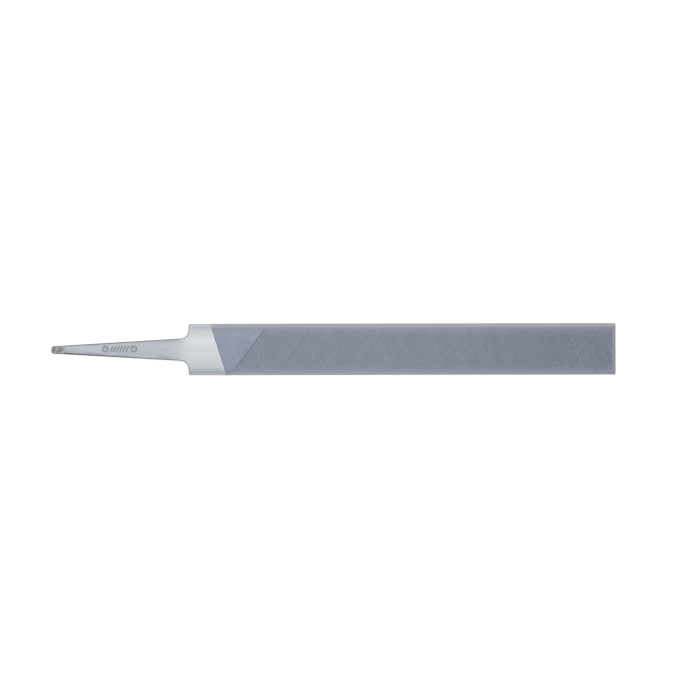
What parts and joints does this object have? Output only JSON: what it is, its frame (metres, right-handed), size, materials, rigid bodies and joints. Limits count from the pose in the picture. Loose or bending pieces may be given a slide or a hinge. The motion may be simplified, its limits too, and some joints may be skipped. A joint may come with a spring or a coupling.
{
  "type": "flat file",
  "caption": "Flat file with parallel double-cut faces, a toothed edge opposite a smooth one, and a bare tapered tang that a handle is driven onto.",
  "frame": {"origin": "on the file's axis, halfway through its thickness, in the plane of the shoulders where the tang's root meets the blade", "axes": "+X along the file towards the point, +Y across the blade towards the smooth safe edge, +Z the normal of the upper face"},
  "size_m": [0.1323, 0.012, 0.0028],
  "materials": {
    "tooth_steel": "hardened, chisel-cut teeth, matt blue-grey",
    "ground_steel": "fine ground satin",
    "tang_steel": "ground, soft, slightly mottled satin",
    "forge_scale": "as forged, brown-grey oxide",
    "core_steel": "hardened steel inside the blade, never seen"
  },
  "bodies": {
    "root": {"tang_stub": "forge_scale", "tang": "tang_steel", "heel": "ground_steel", "blade_core": "core_steel", "upper_cut_face": "tooth_steel", "lower_cut_face": "tooth_steel", "cut_edge": "tooth_steel", "safe_edge": "ground_steel", "point_land": "ground_steel"}
  },
  "joints": []
}
